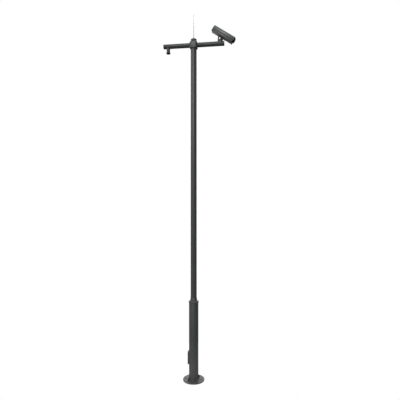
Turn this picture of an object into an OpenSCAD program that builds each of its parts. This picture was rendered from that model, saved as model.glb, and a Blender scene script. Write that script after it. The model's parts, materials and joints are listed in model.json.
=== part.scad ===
// Surveillance camera pole: a stepped steel pole on a bolted base plate, with a crossbar,
// a camera housing on a pan and tilt bracket, a drop nipple for a second camera and a
// lightning rod. +Z is up, +X points along the camera arm, and the origin is the centre of
// the base plate's underside. All sizes are in millimetres.

/* [Base] */
// Diameter of the round base plate
plate_d = 380; // [360:5:420]
// Thickness of the base plate
plate_t = 20; // [15:1:30]
// Pitch circle of the four anchor holes
anchor_pcd = 290; // [275:5:310]
// Diameter of an anchor hole
anchor_hole_d = 26; // [22:1:30]
// Diameter of the cable entry in the plate
entry_d = 120; // [90:5:130]
// Height of a gusset above the plate
gusset_h = 65; // [40:5:90]
// Radius that the gussets reach
gusset_r = 134; // [115:1:138]

/* [Column] */
// Outer diameter of the lower column
column_d = 168.3; // [168.3:0.1:172]
// Wall of the lower column
column_wall = 5; // [4:0.5:6]
// Height of the column's top edge
column_top = 1380; // [1300:10:1500]

/* [Mast] */
// Outer diameter of the mast
mast_d = 108; // [106:1:108]
// Wall of the mast
mast_wall = 4; // [3.6:0.1:4]
// Height of the crossbar's axis
arm_z = 6000; // [5000:100:7000]

/* [Door] */
// Height of the door's centre
door_z = 402; // [380:1:450]
// Width of the raised surround
frame_w = 104; // [100:1:106]
// Height of the raised surround
frame_h = 226; // [220:1:240]

/* [Crossbar] */
// Outer diameter of both arms
arm_d = 82.5; // [80:0.5:82.5]
// Reach of each arm from the pole's axis
arm_reach = 550; // [540:5:600]
// Distance of the drop nipple from the pole's axis
nipple_x = 465; // [440:5:465]
// Distance of the camera bracket from the pole's axis
bracket_x = 477; // [440:1:480]

/* [Camera] */
// Tilt of the housing below the horizontal, in degrees
tilt = 33.5; // [20:0.5:40]
// Width of the housing body
housing_w = 130; // [120:1:134]
// Height of the housing body
housing_h = 88; // [84:1:90]
// Width of the sunshield
shield_w = 150; // [148:1:156]

/* [Rod] */
// Diameter of the lightning rod
rod_d = 10; // [8:1:12]
// Length of the rod above the cap
rod_len = 453; // [300:1:900]

/* [Hidden] */
$fn = 64;
eps = 1;
anthracite = [0.23, 0.24, 0.25];
anthracite_light = [0.30, 0.31, 0.32];
black = [0.08, 0.08, 0.09];
zinc = [0.66, 0.68, 0.70];
stainless = [0.80, 0.80, 0.80];
brass = [0.78, 0.62, 0.28];
column_in = column_d - 2 * column_wall;
mast_in = mast_d - 2 * mast_wall;
arm_wall = 3.2;
arm_in = arm_d - 2 * arm_wall;
// Door surround: faces lie this far out from the pole's axis
frame_face = 97;
lip_t = 5;
recess_w = 88;
recess_h = frame_h - 16;
lip_w = 76;
lip_h = frame_h - 28;
gasket_t = 2;
door_face = frame_face + gasket_t + 0.3;
door_t = 3;
hinge_x = door_face + 1.7;
hinge_y = frame_w / 2 + 5;
hinge_spread = 70;
hinge_h = 40;
knuckle_h = 15.4;
pin_r = 2;
knuckle_r = 4.5;
leaf_t = 2;
// Lock: its parts lie this far out from the pole's axis
lock_y = -24;
lock_d = 14;
lock_inner = 93;
spindle_d = 8;
spindle_inner = 87.5;
cam_inner = 88.5;
cam_t = 3;
cam_reach = 18.5;
// Equipment board and terminal box inside the column
board_x = 25;
board_t = 3;
board_low = door_z - 132;
board_h = 290;
board_w = 100;
board_hole_d = 8.4;
screw_heights = [board_low + 30, board_low + board_h - 30];
box_low = door_z - 67;
box_h = 140;
box_w = 76;
box_t = 30;
box_wall = 3;
box_front = board_x - box_t;
cover_t = 20;
gland_step = 24;
stud_d = 10;
// Mast and reducer
mast_foot = column_top - 300;
mast_top = arm_z - 28;
ring_z = mast_foot + 15;
bead_r = 92.5;
neck_top = column_top + 104;
// Head casting
head_half = 67;
head_chamfer = 24;
head_low = arm_z - 60;
head_high = arm_z + 50;
shoulder_top = arm_z + 88;
cap_t = 20;
head_face = (2 * head_half - head_chamfer) / sqrt(2);
cap_plug_r = 33.7;
cap_screw_r = 51.5;
socket_start = 55;
cable_way_r = 36;
spigot_r = mast_in / 2 - 0.3;
spigot_wall = 8;
spigot_low = mast_top - 172;
rod_nut_h = 30;
// Crossbar fittings
cap_lip = 12;
cap_skirt = 22;
nipple_d = 62;
nipple_in = 54;
coupling_d = 77;
coupling_low = arm_z - 132;
coupling_socket = 14;
thread_r = 22.4;
// Bracket
foot_r = 50;
foot_rim = arm_z + 47;
foot_body_r = 42;
foot_screw_r = 46;
foot_top = arm_z + 56;
pivot_z = arm_z + 85;
pan_gap = 0.3;
pan_r = 17;
sleeve_r = 22;
foot_screw_d = 4;
cradle_top = 33;
ear_in = 15;
ear_out = 25;
ear_r = 15;
drum_r = 47;
drum_top = pivot_z - 6.5;
bolt_r = 5;
bolt_across = 16;
cradle_t = 6;
cradle_len = 130;
cradle_w = 90;
cradle_mid = 15;
cradle_screw_x = 50;
cradle_screw_y = 34;
// Housing, in its own frame: x forward from the tilt pivot, z along the housing's upward normal
body_back = -190;
body_front = 205;
shield_back = -200;
shield_front = 232;
body_low = cradle_top;
body_mid = body_low + housing_h / 2;
body_high = body_low + housing_h;
body_wall = 3;
body_round = 14;
bezel_t = 12;
window_w = 104;
window_h = 62;
window_round = 6;
glass_t = 4;
window_gasket_t = 2;
rear_t = 14;
sled_z = body_low + body_wall;
sled_t = 2;
module_len = 110;
module_w = 62;
module_h = 58;
shield_low = body_low + 44;
shield_high = body_high + 22;
shield_wall = 2.5;
shield_corner = 26;
shield_screw_d = 5;
shield_screw_y = 32;
shield_screw_x = [-110, 120];

// ---------- shared shapes ----------

// Points along an arc about (cx, cy)
function arc(cx, cy, r, from, to, steps = 6) =
    [for (i = [0:steps]) let (a = from + (to - from) * i / steps) [cx + r * cos(a), cy + r * sin(a)]];

// Rectangle about the origin with round corners
module rounded_rect(w, h, r) {
    square([w - 2 * r, h], center = true);
    square([w, h - 2 * r], center = true);
    for (x = [-1, 1], y = [-1, 1])
        translate([x * (w / 2 - r), y * (h / 2 - r)]) circle(r);
}

// Ring or tube standing on the origin
module tube(outer_d, inner_d, h) {
    difference() {
        cylinder(d = outer_d, h = h);
        translate([0, 0, -eps]) cylinder(d = inner_d, h = h + 2 * eps);
    }
}

// Hexagon of the given width across its flats
module hexagon(across, h) {
    cylinder(d = across / cos(30), h = h, $fn = 6);
}

// Hexagon-head bolt: its shank points down from the origin, its head stands up
module hex_bolt(d, across, head_h, shank) {
    hexagon(across, head_h);
    translate([0, 0, -shank]) cylinder(d = d, h = shank + eps);
}

// Socket-head screw: its shank points down from the origin, its head stands up
module socket_screw(d, head_d, head_h, shank) {
    difference() {
        cylinder(d = head_d, h = head_h);
        translate([0, 0, head_h / 2]) hexagon(d * 0.8, head_h);
    }
    translate([0, 0, -shank]) cylinder(d = d, h = shank + head_h / 4);
}

// Draws on a plane that faces -X, this far out from the pole's axis, centred on the door
module on_door_plane(out) {
    translate([-out, 0, door_z]) rotate([90, 0, -90]) children();
}

// Places along the pole's axis for the two door hinges
module at_hinges() {
    for (s = [-1, 1]) translate([-hinge_x, hinge_y, door_z + s * hinge_spread]) children();
}

// A shape drawn along +Z from the origin is laid along +X at the crossbar's axis
module along_arm(x) {
    translate([x, 0, arm_z]) rotate([0, 90, 0]) children();
}

// The housing's own frame, at the tilt pivot
module housing_frame() {
    translate([bracket_x, 0, pivot_z]) rotate([0, tilt, 0]) children();
}

// A section drawn across the housing (x right, y up) is extruded forward from the station x
module housing_section(x, length) {
    translate([x, 0, 0]) rotate([90, 0, 90]) linear_extrude(length) children();
}

// ---------- base and column ----------

module base_plate() {
    edge = 2;
    color(anthracite_light) difference() {
        rotate_extrude() polygon([
            [entry_d / 2, 0], [plate_d / 2, 0], [plate_d / 2, plate_t - edge],
            [plate_d / 2 - edge, plate_t], [entry_d / 2, plate_t]
        ]);
        for (a = [0:90:270])
            rotate(a) translate([anchor_pcd / 2, 0, -eps]) cylinder(d = anchor_hole_d, h = plate_t + 2 * eps);
    }
}

module base_gussets() {
    rib_t = 10;
    nose = 8;
    inner = column_d / 2 - 5;
    color(anthracite_light) for (a = [45:90:315]) rotate(a) difference() {
        rotate([90, 0, 0]) translate([0, 0, -rib_t / 2]) linear_extrude(rib_t) polygon([
            [inner, plate_t], [gusset_r, plate_t], [gusset_r, plate_t + nose],
            [column_d / 2 + nose, plate_t + gusset_h], [inner, plate_t + gusset_h]
        ]);
        cylinder(d = column_d, h = plate_t + gusset_h + eps);
    }
}

module lower_column() {
    color(anthracite) difference() {
        translate([0, 0, plate_t]) tube(column_d, column_in, column_top - plate_t);
        on_door_plane(frame_face) linear_extrude(frame_face, center = true)
            rounded_rect(recess_w, recess_h, 8);
    }
}

module centring_ring() {
    color(zinc) translate([0, 0, ring_z]) tube(column_in, mast_d, 20);
}

module reducer_collar() {
    bore = mast_d / 2;
    plug_r = column_in / 2;
    bead_z = column_top + 18;
    flare_z = column_top + 62;
    color(anthracite_light) rotate_extrude() polygon(concat(
        [[bore, column_top - 38], [plug_r, column_top - 38], [plug_r, column_top]],
        [[column_d / 2, column_top]],
        arc(bead_r - 12, bead_z, 12, -60, 60),
        arc(bore + 32, flare_z, 26, -100, -180),
        [[bore + 1.5, neck_top], [bore, neck_top]]
    ));
}

module mast_tube() {
    color(anthracite) translate([0, 0, mast_foot]) tube(mast_d, mast_in, mast_top - mast_foot);
}

// ---------- door ----------

module door_frame() {
    depth = 40;
    color(anthracite) difference() {
        on_door_plane(frame_face - depth) linear_extrude(depth) rounded_rect(frame_w, frame_h, 14);
        on_door_plane(frame_face - depth - eps) linear_extrude(depth + eps - lip_t)
            rounded_rect(recess_w, recess_h, 8);
        on_door_plane(frame_face - lip_t - eps) linear_extrude(lip_t + 2 * eps)
            rounded_rect(lip_w, lip_h, 6);
        cylinder(d = column_d, h = column_top);
    }
}

module door_gasket() {
    color(black) on_door_plane(frame_face) linear_extrude(gasket_t) difference() {
        rounded_rect(frame_w - 6, frame_h - 6, 11);
        rounded_rect(lip_w + 6, lip_h + 6, 6);
    }
}

module door_panel() {
    color(anthracite) on_door_plane(door_face) linear_extrude(door_t) difference() {
        rounded_rect(frame_w - 2, frame_h - 2, 13);
        translate([-lock_y, 0]) circle(d = lock_d);
    }
}

module hinge_frame_leaves() {
    knuckle_end = (hinge_h - knuckle_h) / 2 - pan_gap;
    color(anthracite) at_hinges() difference() {
        union() {
            for (s = [-1, 1]) translate([0, 0, s * (hinge_h - knuckle_end) / 2]) {
                cylinder(r = knuckle_r, h = knuckle_end, center = true);
                translate([8, -4, 0]) cube([16, leaf_t, knuckle_end], center = true);
            }
            translate([11, -4, 0]) cube([10, leaf_t, hinge_h], center = true);
        }
        cylinder(r = pin_r + 0.05, h = hinge_h + 2 * eps, center = true);
    }
}

module hinge_pins() {
    color(stainless) at_hinges() {
        cylinder(r = pin_r, h = hinge_h, center = true);
        translate([0, 0, hinge_h / 2]) cylinder(r = 3.2, h = 2);
    }
}

module hinge_door_leaves() {
    strap_out = door_face + door_t - hinge_x;
    strap_len = 32;
    color(anthracite) at_hinges() difference() {
        union() {
            cylinder(r = knuckle_r, h = knuckle_h, center = true);
            translate([-strap_out - leaf_t, -strap_len, -knuckle_h / 2]) cube([leaf_t, strap_len, knuckle_h]);
        }
        cylinder(r = pin_r + 0.05, h = knuckle_h + 2 * eps, center = true);
    }
}

module lock_housing() {
    outer = door_face + door_t;
    color(stainless) on_door_plane(0) translate([-lock_y, 0, 0]) difference() {
        union() {
            translate([0, 0, outer]) cylinder(d = lock_d + 6, h = 2);
            translate([0, 0, lock_inner]) cylinder(d = lock_d, h = outer - lock_inner + eps);
        }
        translate([0, 0, lock_inner - eps]) cylinder(d = spindle_d + 0.1, h = 20);
    }
}

module lock_nut() {
    nut_t = 4;
    color(stainless) on_door_plane(door_face - nut_t) translate([-lock_y, 0, 0]) difference() {
        hexagon(20, nut_t);
        translate([0, 0, -eps]) cylinder(d = lock_d, h = nut_t + 2 * eps);
    }
}

// Its outer end has a three-sided recess for the key
module lock_spindle() {
    outer = door_face + door_t + 1.7;
    key_depth = 5;
    color(zinc) on_door_plane(0) translate([-lock_y, 0, 0]) difference() {
        translate([0, 0, spindle_inner]) cylinder(d = spindle_d, h = outer - spindle_inner);
        translate([0, 0, outer - key_depth]) cylinder(r = 3.2, h = key_depth + eps, $fn = 3);
    }
}

module lock_cam() {
    cam_w = 12;
    color(zinc) on_door_plane(cam_inner) translate([-lock_y, 0, 0]) difference() {
        union() {
            cylinder(d = 16, h = cam_t);
            translate([-cam_w / 2, 0, 0]) cube([cam_w, cam_reach, cam_t]);
        }
        translate([0, 0, -eps]) cylinder(d = spindle_d, h = cam_t + 2 * eps);
    }
}

// ---------- equipment inside the column ----------

module equipment_board() {
    color(zinc) difference() {
        translate([board_x, -board_w / 2, board_low]) cube([board_t, board_w, board_h]);
        for (z = screw_heights) translate([board_x - eps, 0, z]) rotate([0, 90, 0])
            cylinder(d = board_hole_d, h = board_t + 2 * eps);
    }
}

module board_spacers() {
    color(zinc) intersection() {
        for (z = screw_heights) translate([board_x + board_t, 0, z]) rotate([0, 90, 0])
            tube(20, board_hole_d, column_in / 2);
        cylinder(d = column_in, h = column_top);
    }
}

module board_screws() {
    color(stainless) for (z = screw_heights)
        translate([board_x, 0, z]) rotate([0, -90, 0]) hex_bolt(8, 13, 5, 36);
}

module terminal_box() {
    color(black) difference() {
        translate([box_front, -box_w / 2, box_low]) cube([box_t, box_w, box_h]);
        translate([box_front - eps, -box_w / 2 + box_wall, box_low + box_wall])
            cube([box_t - box_wall + eps, box_w - 2 * box_wall, box_h - 2 * box_wall]);
    }
}

module terminal_blocks() {
    pitch = 15;
    color("white") for (i = [0:3])
        translate([box_front + 6, -28 + i * pitch, box_low + 20]) cube([box_t - box_wall - 6, 12, 44]);
}

module terminal_cover() {
    color([0.30, 0.30, 0.30]) difference() {
        translate([box_front - cover_t, -box_w / 2, box_low]) cube([cover_t, box_w, box_h]);
        translate([box_front - cover_t + box_wall, -box_w / 2 + box_wall, box_low + box_wall])
            cube([cover_t, box_w - 2 * box_wall, box_h - 2 * box_wall]);
        // Window that the fuse carrier comes through
        translate([box_front - cover_t - eps, -15, box_low + 80]) cube([box_wall + 2 * eps, 30, 44]);
    }
}

module fuse_carrier() {
    color([0.75, 0.2, 0.15]) {
        translate([box_front - 28, -14, box_low + 81]) cube([26, 28, 42]);
        translate([box_front - 34, -6, box_low + 84]) cube([7, 12, 36]);
    }
}

module terminal_glands() {
    nut_h = 6;
    gland_h = 20;
    color(black) for (i = [-1:1]) translate([box_front + 14, i * gland_step, box_low]) {
        translate([0, 0, -nut_h]) hexagon(20, nut_h);
        translate([0, 0, -gland_h]) tube(17, 9, gland_h - nut_h + eps);
    }
}

module at_earth_stud() {
    translate([board_x, 30, board_low + 25]) rotate([0, -90, 0]) children();
}

module earth_stud() {
    color(brass) at_earth_stud() cylinder(d = stud_d, h = 32);
}

module earth_nuts() {
    nut_h = 8;
    color(brass) for (out = [0, 12]) at_earth_stud() translate([0, 0, out]) difference() {
        hexagon(17, nut_h);
        translate([0, 0, -eps]) cylinder(d = stud_d, h = nut_h + 2 * eps);
    }
}

// ---------- head ----------

// Square with cut corners, the plan of the head casting
module head_plan() {
    far = head_half;
    near = head_half - head_chamfer;
    polygon([
        [far, near], [near, far], [-near, far], [-far, near],
        [-far, -near], [-near, -far], [near, -far], [far, -near]
    ]);
}

module head_casting() {
    color(anthracite) difference() {
        union() {
            translate([0, 0, head_low]) linear_extrude(head_high - head_low) head_plan();
            translate([0, 0, head_high]) cylinder(r1 = 62, r2 = 49, h = shoulder_top - head_high);
        }
        // Counterbore over the mast's top edge, round the spigot
        translate([0, 0, head_low - eps]) tube(mast_d + 0.6, 2 * spigot_r, mast_top + 0.3 - head_low + eps);
        translate([0, 0, head_low - eps]) cylinder(r = spigot_r - spigot_wall, h = 60);
        translate([0, 0, mast_top + 8]) cylinder(r = 46, h = head_high - mast_top - 18);
        translate([0, 0, head_high - 20]) cylinder(r = cap_plug_r, h = 80);
        // Arm sockets, and the cable way between them
        for (s = [0, 180]) rotate(s) {
            along_arm(socket_start) cylinder(d = arm_d, h = 20);
            along_arm(0) cylinder(r = cable_way_r, h = socket_start + eps);
        }
        at_set_screws() translate([0, 0, -30]) cylinder(d = 8.4, h = 40);
        at_cap_screws() {
            cylinder(d = 14, h = 20);
            translate([0, 0, -30]) cylinder(d = 6.4, h = 31);
        }
    }
    color(anthracite) translate([0, 0, spigot_low])
        tube(2 * spigot_r, 2 * (spigot_r - spigot_wall), head_low - spigot_low);
}

// Two clamp screws press on the mast from opposite corner faces, near the casting's lower edge
module at_set_screws() {
    for (a = [45, 225]) rotate(a) translate([head_face, 0, head_low + 12]) rotate([0, 90, 0]) children();
}

// Two cap screws sit in spot faces on the shoulder, over the other two corners
module at_cap_screws() {
    for (a = [135, 315]) rotate(a) translate([cap_screw_r, 0, head_high + 18]) rotate([0, 90, 0]) children();
}

module head_set_screws() {
    color(stainless) at_set_screws() hex_bolt(8, 13, 5.5, head_face - mast_d / 2 - 0.3);
}

module mast_cap() {
    edge = 4;
    cap_r = 52;
    plug_len = 30;
    color(anthracite) translate([0, 0, shoulder_top]) difference() {
        union() {
            rotate_extrude() polygon([
                [0, 0], [cap_r, 0], [cap_r, cap_t - edge], [cap_r - edge, cap_t], [0, cap_t]
            ]);
            translate([0, 0, -plug_len]) cylinder(r = cap_plug_r, h = plug_len + eps);
        }
        translate([0, 0, -40]) cylinder(d = rod_d, h = 80);
    }
}

module cap_screws() {
    color(stainless) at_cap_screws() hex_bolt(6, 10, 5, cap_screw_r - cap_plug_r);
}

module rod_nut() {
    color(anthracite) translate([0, 0, shoulder_top + cap_t]) difference() {
        union() {
            cylinder(d = 30, h = 4);
            hexagon(22, 18);
            cylinder(d = 16, h = rod_nut_h);
        }
        translate([0, 0, -eps]) cylinder(d = rod_d, h = rod_nut_h + 2 * eps);
    }
}

module lightning_rod() {
    point = 25;
    low = shoulder_top - 15;
    high = shoulder_top + cap_t + rod_len;
    color([0.9, 0.9, 0.9]) {
        translate([0, 0, low]) cylinder(d = rod_d, h = high - point - low);
        translate([0, 0, high - point]) cylinder(d1 = rod_d, d2 = 2, h = point);
    }
}

// ---------- crossbar ----------

// Arm tube from its socket to its end cap, laid along +X
module arm_blank() {
    start = socket_start + 1;
    along_arm(start) tube(arm_d, arm_in, arm_reach - cap_lip - start);
}

module left_arm() {
    color(anthracite) difference() {
        rotate(180) arm_blank();
        translate([-nipple_x, 0, arm_z - 60]) cylinder(d = 56, h = 60);
    }
}

module right_arm() {
    color(anthracite) difference() {
        arm_blank();
        translate([bracket_x, 0, arm_z]) cylinder(d = 44, h = 60);
    }
}

// Push-in plug that closes an arm: its flange is outside, its hollow skirt inside
module end_cap() {
    flange_d = arm_d + 3.5;
    edge = 3;
    color(black) {
        along_arm(arm_reach - cap_lip) rotate_extrude() polygon([
            [0, 0], [flange_d / 2, 0], [flange_d / 2, cap_lip - edge],
            [flange_d / 2 - edge, cap_lip], [0, cap_lip]
        ]);
        along_arm(arm_reach - cap_lip - cap_skirt) tube(arm_in, arm_in - 6, cap_skirt + eps);
    }
}

module left_end_cap() {
    rotate(180) end_cap();
}

module right_end_cap() {
    end_cap();
}

module drop_nipple() {
    color(anthracite) difference() {
        translate([-nipple_x, 0, coupling_low + coupling_socket]) tube(nipple_d, nipple_in, 100);
        translate([-arm_reach, 0, arm_z]) rotate([0, 90, 0]) cylinder(d = arm_d, h = arm_reach);
    }
}

// Socket for a 1 1/2 inch pendant thread, pressed over the nipple's lower end
module drop_coupling() {
    color(black) translate([-nipple_x, 0, coupling_low]) rotate_extrude() polygon([
        [thread_r, 0], [coupling_d / 2 - 4, 0], [coupling_d / 2, 5], [coupling_d / 2, 16],
        [nipple_d / 2 + 3, 25], [nipple_d / 2, 25],
        [nipple_d / 2, coupling_socket], [thread_r, coupling_socket]
    ]);
}

// ---------- bracket ----------

module bracket_foot() {
    low = arm_z + 24;
    color(anthracite) difference() {
        union() {
            difference() {
                translate([bracket_x, 0, 0]) rotate_extrude() polygon([
                    [0, arm_z + 10], [foot_r, arm_z + 10], [foot_r, foot_rim],
                    [foot_body_r, foot_rim], [foot_body_r, foot_top - 1],
                    [foot_body_r - 1, foot_top], [0, foot_top]
                ]);
                along_arm(bracket_x - 60) cylinder(d = arm_d, h = 120);
            }
            translate([bracket_x, 0, low]) cylinder(r = sleeve_r, h = 30);
        }
        translate([bracket_x, 0, low - 20]) cylinder(r = pan_r + 0.1, h = 60);
        at_foot_screws() translate([0, 0, -13]) cylinder(d = foot_screw_d, h = 20);
    }
}

module at_foot_screws() {
    translate([bracket_x, 0, foot_rim]) for (a = [45:90:315])
        rotate(a) translate([foot_screw_r, 0, 0]) children();
}

module bracket_screws() {
    color(stainless) at_foot_screws() socket_screw(foot_screw_d, 7, 4, 12);
}

// A drum that turns on the foot, with a slot for the cradle's web between two cheeks
module swivel_yoke() {
    floor_h = 10;
    edge = 1.5;
    cable_r = 11;
    base = foot_top + pan_gap;
    color(anthracite) translate([bracket_x, 0, 0]) difference() {
        union() {
            rotate_extrude() polygon([
                [0, base], [drum_r, base], [drum_r, drum_top - edge], [drum_r - edge, drum_top], [0, drum_top]
            ]);
            translate([0, 0, arm_z + 10]) cylinder(r = pan_r, h = base + eps - arm_z - 10);
            translate([0, 0, pivot_z]) rotate([90, 0, 0]) linear_extrude(2 * ear_out, center = true)
                cheek_outline();
        }
        translate([-foot_r, -ear_in, base + floor_h]) cube([2 * foot_r, 2 * ear_in, pivot_z]);
        // Spot faces for the tilt bolt's head and nut
        for (s = [0, 180]) rotate(s) translate([0, ear_out, pivot_z]) rotate([-90, 0, 0])
            cylinder(r = bolt_across / 2 + 3, h = foot_r);
        translate([0, 0, arm_z]) cylinder(r = cable_r, h = foot_top + 40 - arm_z);
        translate([0, 0, pivot_z]) rotate([90, 0, 0]) cylinder(r = bolt_r, h = 100, center = true);
    }
}

// Side view of a cheek about the tilt pivot: high behind it, low in front where the housing tips down
module cheek_outline() {
    foot = drum_top - pivot_z - 4;
    hull() {
        circle(r = ear_r);
        polygon([[-39, 14], [-39, foot], [38, foot], [38, -5]]);
    }
}

module pan_lock_nut() {
    color(zinc) translate([bracket_x, 0, arm_z + 12]) difference() {
        cylinder(r = 21, h = 11.7);
        translate([0, 0, -eps]) cylinder(r = pan_r, h = 20);
    }
}

module tilt_bolt() {
    color(stainless) translate([bracket_x, -ear_out, pivot_z]) rotate([90, 0, 0])
        hex_bolt(2 * bolt_r, bolt_across, 6, 2 * ear_out + 11);
}

module tilt_nut() {
    color(stainless) translate([bracket_x, ear_out, pivot_z]) rotate([-90, 0, 0]) difference() {
        hexagon(bolt_across, 8);
        translate([0, 0, -eps]) cylinder(r = bolt_r, h = 20);
    }
}

// ---------- camera housing ----------

// Plate under the housing, with a web that swings between the cheeks
module tilt_cradle() {
    web_w = 2 * ear_in - 0.6;
    back = cradle_mid - cradle_len / 2;
    color(anthracite) housing_frame() difference() {
        union() {
            rotate([90, 0, 0]) linear_extrude(web_w, center = true) hull() {
                circle(r = 14);
                polygon([[back, -2], [14, 0], [14, cradle_top - 2], [back, cradle_top - 2]]);
            }
            translate([back, -cradle_w / 2, cradle_top - cradle_t]) cube([cradle_len, cradle_w, cradle_t]);
        }
        rotate([90, 0, 0]) cylinder(r = bolt_r + 0.05, h = 60, center = true);
    }
}

module cradle_screws() {
    color(stainless) housing_frame() for (x = [-1, 1], y = [-1, 1])
        translate([cradle_mid + x * cradle_screw_x, y * cradle_screw_y, cradle_top - cradle_t])
            rotate([180, 0, 0]) hexagon(10, 4);
}

// Outer section of the housing's extruded body
module body_outline(grow = 0) {
    translate([0, body_mid]) rounded_rect(housing_w + 2 * grow, housing_h + 2 * grow, body_round + grow);
}

module housing_body() {
    rib_z = [body_low + 16, body_low + 27, body_low + 38];
    color(anthracite) housing_frame() {
        housing_section(body_back, body_front - body_back) difference() {
            union() {
                body_outline();
                // Raised ribs along both sides
                for (s = [-1, 1], z = rib_z)
                    translate([s * housing_w / 2, z]) square([5, 4], center = true);
            }
            body_outline(-body_wall);
        }
    }
}

module window_outline() {
    translate([0, body_mid]) rounded_rect(window_w, window_h, window_round);
}

module front_bezel() {
    color(black) housing_frame() housing_section(body_front, bezel_t) difference() {
        body_outline(3);
        window_outline();
    }
}

module window_gasket() {
    color(black) housing_frame() housing_section(body_front - window_gasket_t, window_gasket_t) difference() {
        body_outline(-body_wall);
        window_outline();
    }
}

module window_glass() {
    color([0.2, 0.25, 0.3]) housing_frame() housing_section(body_front - window_gasket_t - glass_t, glass_t)
        body_outline(-body_wall - 0.2);
}

module rear_cover() {
    edge = 5;
    color(black) housing_frame() {
        housing_section(body_back - rear_t + edge, rear_t - edge) body_outline(2);
        housing_section(body_back - rear_t, edge) body_outline(-3);
    }
}

module rear_cover_screws() {
    color(stainless) housing_frame() for (y = [-1, 1], z = [-1, 1])
        translate([body_back - rear_t, y * (housing_w / 2 - 14), body_mid + z * (housing_h / 2 - 14)])
            rotate([0, -90, 0]) cylinder(d = 8, h = 3);
}

module housing_glands() {
    color(black) housing_frame() for (y = [-1, 1])
        translate([body_back - rear_t, y * 22, body_low + 24]) rotate([0, -90, 0]) {
            hexagon(24, 4);
            cylinder(d = 18, h = 9);
        }
}

module camera_sled() {
    sled_w = 90;
    module_support = [30, 60, 12];
    color(zinc) housing_frame() translate([-100, -sled_w / 2, sled_z]) {
        cube([260, sled_w, sled_t]);
        translate([150, (sled_w - module_support.y) / 2, 0]) cube(module_support);
    }
}

module camera_module() {
    rim = 8;
    color([0.75, 0.75, 0.72]) housing_frame() translate([-20, -module_w / 2, sled_z + 12]) difference() {
        cube([module_len, module_w, module_h]);
        // Recess with the sockets at the back
        translate([-eps, rim, rim]) cube([4, module_w - 2 * rim, module_h - 2 * rim]);
    }
}

module lens_barrel() {
    color(black) housing_frame() translate([module_len - 20, 0, sled_z + 41]) rotate([0, 90, 0]) {
        cylinder(d = 40, h = 50);
        translate([0, 0, 50]) tube(50, 42, 18);
        translate([0, 0, 50]) cylinder(d = 42, h = 6);
    }
}

// Open section of the sunshield: a flat top, sloping corners and short sides
module shield_outline(inset) {
    half = shield_w / 2 - inset;
    top = shield_high - inset;
    corner = shield_corner - inset * 0.4;
    polygon([
        [half, shield_low], [half, top - corner], [half - corner, top],
        [corner - half, top], [-half, top - corner], [-half, shield_low]
    ]);
}

module sunshield() {
    color(anthracite_light) difference() {
        housing_frame() housing_section(shield_back, shield_front - shield_back) difference() {
            shield_outline(0);
            shield_outline(shield_wall);
            translate([0, shield_low]) square([shield_w - 2 * shield_wall, 2], center = true);
        }
        at_shield_fixings(shield_high) cylinder(d = shield_screw_d, h = 20, center = true);
    }
}

module at_shield_fixings(z) {
    housing_frame() for (x = shield_screw_x, y = [-1, 1]) translate([x, y * shield_screw_y, z]) children();
}

module shield_spacers() {
    color(zinc) at_shield_fixings(body_high) tube(12, shield_screw_d, shield_high - shield_wall - body_high);
}

module shield_screws() {
    color(stainless) at_shield_fixings(shield_high) {
        cylinder(d = 2 * shield_screw_d, h = 3);
        translate([0, 0, -16]) cylinder(d = shield_screw_d, h = 16 + eps);
    }
}

base_plate();
base_gussets();
lower_column();
door_frame();
door_gasket();
hinge_frame_leaves();
hinge_pins();
equipment_board();
board_spacers();
board_screws();
terminal_box();
terminal_blocks();
terminal_cover();
fuse_carrier();
terminal_glands();
earth_stud();
earth_nuts();
centring_ring();
reducer_collar();
mast_tube();
door_panel();
hinge_door_leaves();
lock_housing();
lock_nut();
lock_spindle();
lock_cam();
head_casting();
head_set_screws();
mast_cap();
cap_screws();
rod_nut();
lightning_rod();
left_arm();
right_arm();
left_end_cap();
right_end_cap();
drop_nipple();
drop_coupling();
bracket_foot();
bracket_screws();
swivel_yoke();
pan_lock_nut();
tilt_bolt();
tilt_nut();
tilt_cradle();
cradle_screws();
housing_body();
front_bezel();
window_gasket();
window_glass();
rear_cover();
rear_cover_screws();
housing_glands();
camera_sled();
camera_module();
lens_barrel();
sunshield();
shield_spacers();
shield_screws();
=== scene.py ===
"""Looks of the surveillance camera pole: detailed pieces, procedural materials, light and camera.

All lengths are in metres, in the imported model's own frame: +Z up, +X along the camera arm.
"""

import json
import math

import bmesh
import bpy
from mathutils import Matrix, Vector


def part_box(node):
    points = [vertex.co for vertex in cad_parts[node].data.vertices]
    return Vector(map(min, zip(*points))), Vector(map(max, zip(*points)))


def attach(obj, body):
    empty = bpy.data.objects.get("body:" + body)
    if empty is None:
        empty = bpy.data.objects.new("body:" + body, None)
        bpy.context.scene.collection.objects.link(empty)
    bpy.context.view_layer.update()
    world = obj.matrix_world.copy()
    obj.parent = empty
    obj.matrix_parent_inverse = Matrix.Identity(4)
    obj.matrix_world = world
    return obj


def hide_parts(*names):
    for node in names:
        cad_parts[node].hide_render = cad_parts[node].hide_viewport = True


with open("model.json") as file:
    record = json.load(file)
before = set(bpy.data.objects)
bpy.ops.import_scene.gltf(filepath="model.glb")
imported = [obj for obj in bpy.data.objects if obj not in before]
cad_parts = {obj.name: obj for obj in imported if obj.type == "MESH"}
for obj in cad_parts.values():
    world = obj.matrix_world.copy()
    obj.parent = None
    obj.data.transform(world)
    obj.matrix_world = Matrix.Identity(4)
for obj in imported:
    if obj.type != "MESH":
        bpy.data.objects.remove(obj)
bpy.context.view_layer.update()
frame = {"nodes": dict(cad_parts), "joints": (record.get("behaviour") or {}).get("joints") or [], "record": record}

RECORD = frame["record"]
NODE_BODY = {n: b for b, members in RECORD["behaviour"]["bodies"].items() for n in members}
NODE_SLOT = {s["node"]: s["material_slot"] for s in RECORD["subparts"]}
SLOT_COLOR = {m["slot"]: m["base_color"] for m in RECORD["materials"]}
JOINT = {j["name"]: j for j in frame["joints"]}

# ---------------------------------------------------------------- sizes taken from the frame


def low(node, axis):
    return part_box(node)[0][axis]


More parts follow.
